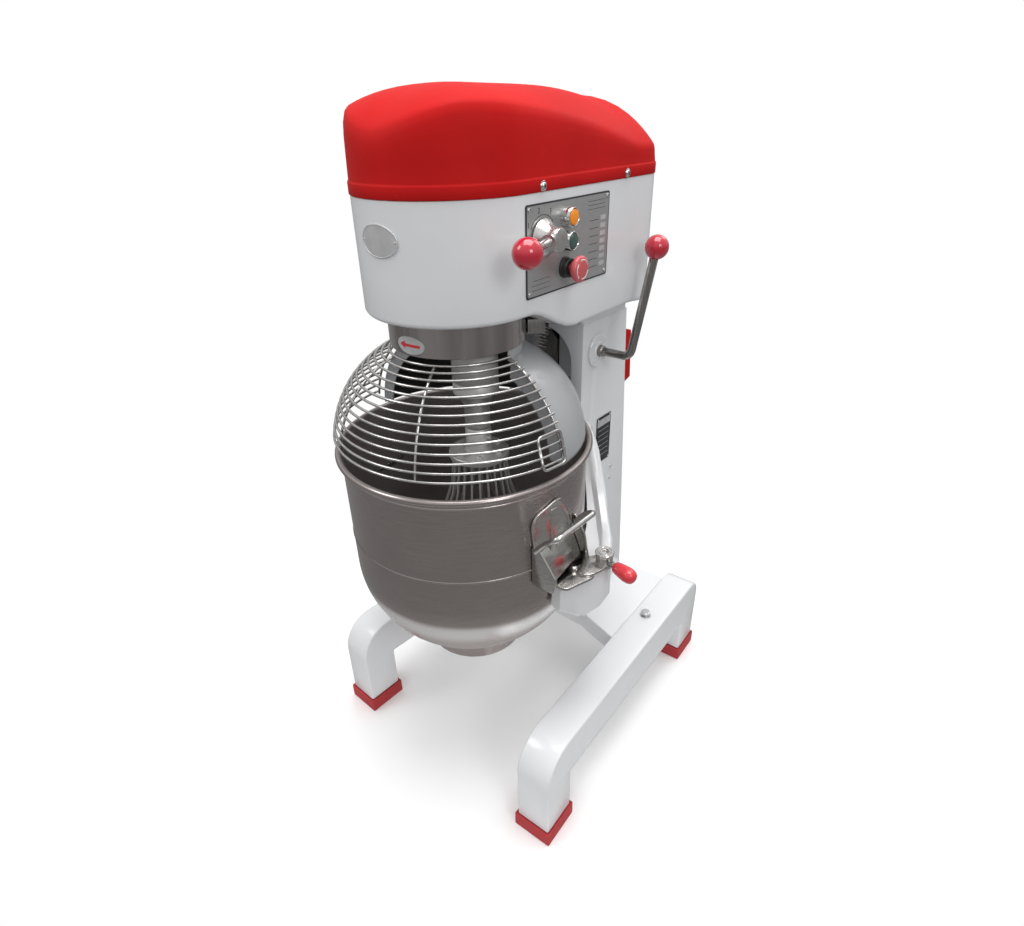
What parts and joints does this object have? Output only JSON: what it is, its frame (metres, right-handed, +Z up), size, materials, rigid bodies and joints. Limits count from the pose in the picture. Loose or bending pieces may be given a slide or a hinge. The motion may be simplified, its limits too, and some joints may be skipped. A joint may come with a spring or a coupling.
{
  "type": "commercial stand mixer",
  "caption": "Floor-standing planetary mixer with a lifting bowl, a whisk, a swinging wire guard and splayed feet.",
  "frame": {"origin": "on the floor, under the middle of the machine's box", "axes": "+Z up, +X to the side of the control plate and lift lever, +Y to the back; the bowl is in front, towards -Y"},
  "size_m": [0.686, 0.7715, 1.3046],
  "materials": {
    "white_enamel": "gloss white stove enamel",
    "pad_rubber": "matt red rubber",
    "zinc_steel": "bright zinc-plated steel",
    "red_shell": "satin red moulded shell",
    "black_plastic": "matt black",
    "brushed_plate": "brushed",
    "collar_steel": "brushed and polished stainless steel",
    "guard_paint": "gloss light grey",
    "bright_wire": "polished stainless wire",
    "gear_steel": "machined steel",
    "motor_paint": "satin",
    "belt_rubber": "matt black",
    "dark_steel": "dark bare steel",
    "bowl_steel": "satin brushed with polished bands",
    "red_knob": "gloss phenolic ball",
    "red_grip": "gloss moulded grip",
    "cast_aluminium": "polished casting",
    "yellow_lens": "gloss",
    "green_lens": "gloss",
    "red_stop": "gloss"
  },
  "bodies": {
    "frame": {"left_leg": "white_enamel", "right_leg": "white_enamel", "base_platform": "white_enamel", "foot_pads": "pad_rubber", "base_bolts": "zinc_steel", "column": "white_enamel", "slide_ways": "zinc_steel", "column_rear_cover": "red_shell", "rear_cover_screws": "zinc_steel", "cable_gland": "black_plastic", "side_plate": "brushed_plate", "head_housing": "white_enamel", "top_cover": "red_shell", "cover_screws": "zinc_steel", "badge_plate": "brushed_plate", "control_plate": "brushed_plate", "plate_screws": "zinc_steel", "button_bezels": "zinc_steel", "estop_base": "black_plastic", "collar": "collar_steel", "rear_guard": "guard_paint", "guard_switch": "black_plastic", "ring_gear": "gear_steel", "bearing_deck": "white_enamel", "bearings": "zinc_steel", "belt_deck": "white_enamel", "motor": "motor_paint", "drive_belt": "belt_rubber", "lift_flange": "white_enamel"},
    "planetary": {"planet_carrier": "gear_steel"},
    "beater": {"beater_shaft": "gear_steel", "whisk_hub": "collar_steel", "whisk_wires": "collar_steel"},
    "counter": {"counter_shaft": "gear_steel"},
    "motor_rotor": {"motor_pulley": "gear_steel"},
    "guard": {"guard_hoops": "bright_wire", "guard_rods": "bright_wire", "guard_handle": "bright_wire"},
    "lift": {"yoke": "white_enamel", "yoke_pins": "zinc_steel", "lift_rack": "gear_steel", "bowl": "bowl_steel", "bowl_foot_ring": "bowl_steel", "bowl_brackets": "collar_steel", "bowl_handles": "collar_steel"},
    "lever": {"lift_shaft": "dark_steel", "lift_lever": "dark_steel", "lift_ball": "red_knob"},
    "right_clamp": {"clamp_right": "zinc_steel", "clamp_right_grip": "red_grip"},
    "left_clamp": {"clamp_left": "zinc_steel", "clamp_left_grip": "red_grip"},
    "speed_selector": {"speed_hub": "cast_aluminium", "speed_lever": "cast_aluminium", "speed_ball": "red_knob"},
    "start_button": {"yellow_button": "yellow_lens"},
    "run_button": {"green_button": "green_lens"},
    "stop_button": {"estop_head": "red_stop"}
  },
  "joints": [
    {"name": "planetary_spin", "type": "hinge", "parent": "frame", "child": "planetary", "pos_m": [0, -0.15577, 0.96], "axis": [0, 0, 1], "continuous": true},
    {"name": "beater_spin", "type": "hinge", "parent": "planetary", "child": "beater", "pos_m": [0.05847, -0.1818, 0.9], "axis": [0, 0, 1], "continuous": true},
    {"name": "counter_spin", "type": "hinge", "parent": "frame", "child": "counter", "pos_m": [0, -0.03577, 1.066], "axis": [0, 0, 1], "continuous": true},
    {"name": "motor_spin", "type": "hinge", "parent": "frame", "child": "motor_rotor", "pos_m": [0, 0.11223, 1.19], "axis": [0, 0, 1], "continuous": true},
    {"name": "guard_swing", "type": "hinge", "parent": "frame", "child": "guard", "pos_m": [0, -0.15577, 0.93], "axis": [0, 0, 1], "range_deg": [0, 150]},
    {"name": "bowl_lift", "type": "slide", "parent": "frame", "child": "lift", "axis": [0, 0, 1], "range_m": [-0.14, 0]},
    {"name": "lift_lever_turn", "type": "hinge", "parent": "frame", "child": "lever", "pos_m": [0, 0.13223, 0.855], "axis": [1, 0, 0], "range_deg": [-135, 0.5]},
    {"name": "right_clamp_turn", "type": "hinge", "parent": "lift", "child": "right_clamp", "pos_m": [0.273, -0.10377, 0.57], "axis": [0, 0, 1], "range_deg": [0, 80]},
    {"name": "left_clamp_turn", "type": "hinge", "parent": "lift", "child": "left_clamp", "pos_m": [-0.273, -0.10377, 0.57], "axis": [0, 0, 1], "range_deg": [-80, 0]},
    {"name": "speed_shift", "type": "hinge", "parent": "frame", "child": "speed_selector", "pos_m": [0.145, -0.11777, 1.104], "axis": [1, 0, 0], "range_deg": [-35, 35]},
    {"name": "start_press", "type": "slide", "parent": "frame", "child": "start_button", "axis": [-1, 0, 0], "range_m": [0, 0.003], "stiffness_N_per_m": 900},
    {"name": "run_press", "type": "slide", "parent": "frame", "child": "run_button", "axis": [-1, 0, 0], "range_m": [0, 0.003], "stiffness_N_per_m": 900},
    {"name": "stop_press", "type": "slide", "parent": "frame", "child": "stop_button", "axis": [-1, 0, 0], "range_m": [0, 0.004], "stiffness_N_per_m": 900}
  ],
  "couplings": [
    {"joint": "beater_spin", "follows": "planetary_spin", "ratio": -3},
    {"joint": "counter_spin", "follows": "planetary_spin", "ratio": -3},
    {"joint": "motor_spin", "follows": "planetary_spin", "ratio": -6},
    {"joint": "lift_lever_turn", "follows": "bowl_lift", "rad_per_m": 16.667}
  ]
}
